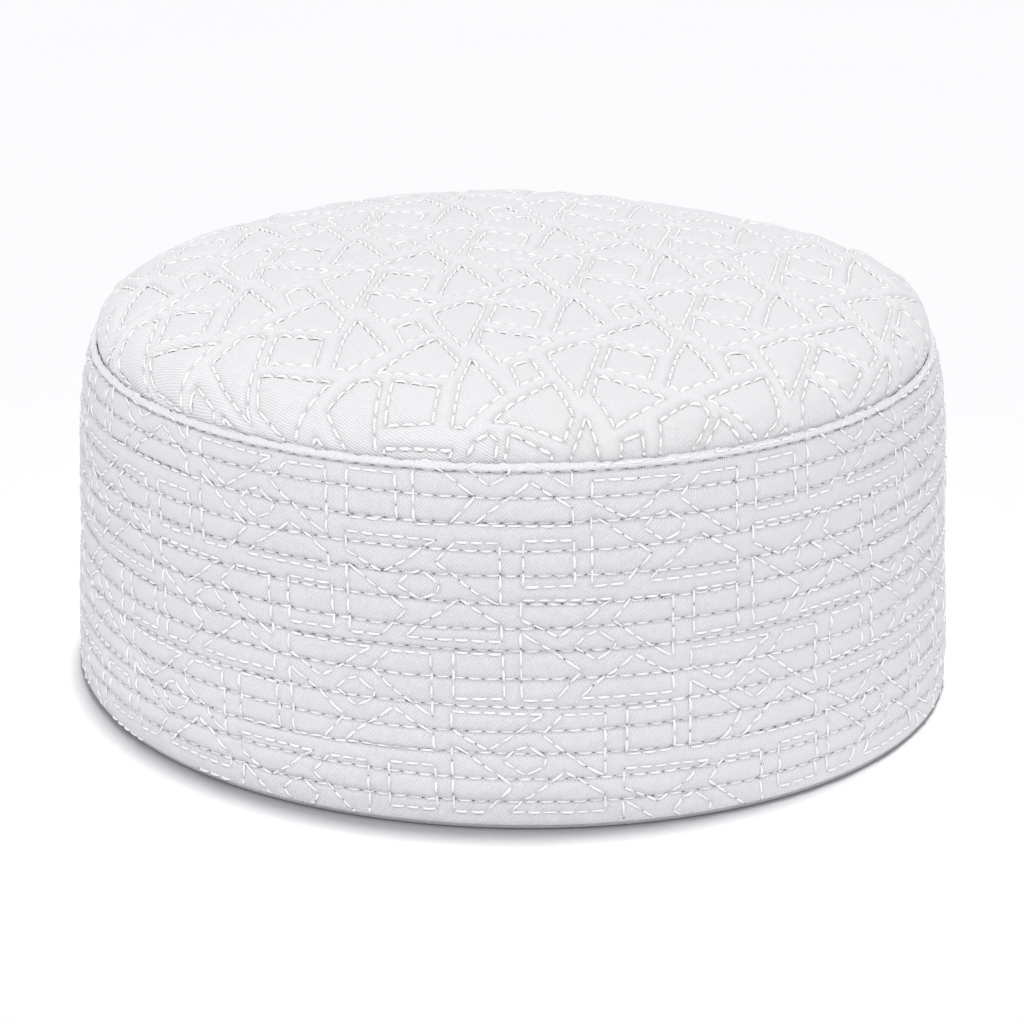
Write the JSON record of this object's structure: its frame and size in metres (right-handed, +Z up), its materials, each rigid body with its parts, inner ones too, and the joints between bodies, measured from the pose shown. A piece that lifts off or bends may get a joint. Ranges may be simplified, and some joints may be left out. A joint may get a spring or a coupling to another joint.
{
  "type": "kufi cap",
  "caption": "Round brimless quilted cap with an upright ribbed band, a folded top lip and a low padded dome crown, open below for the head.",
  "frame": {"origin": "middle of the footprint, on the surface that the hem stands on", "axes": "+Z up through the crown, -Y towards the front of the cap"},
  "size_m": [0.1938, 0.1934, 0.0902],
  "materials": {
    "band_cloth": "quilted white cotton twill, matt, with satin embroidery thread",
    "crown_cloth": "padded white cotton twill, matt, with satin embroidery thread"
  },
  "bodies": {
    "root": {"side_band": "band_cloth", "crown": "crown_cloth"}
  },
  "joints": []
}
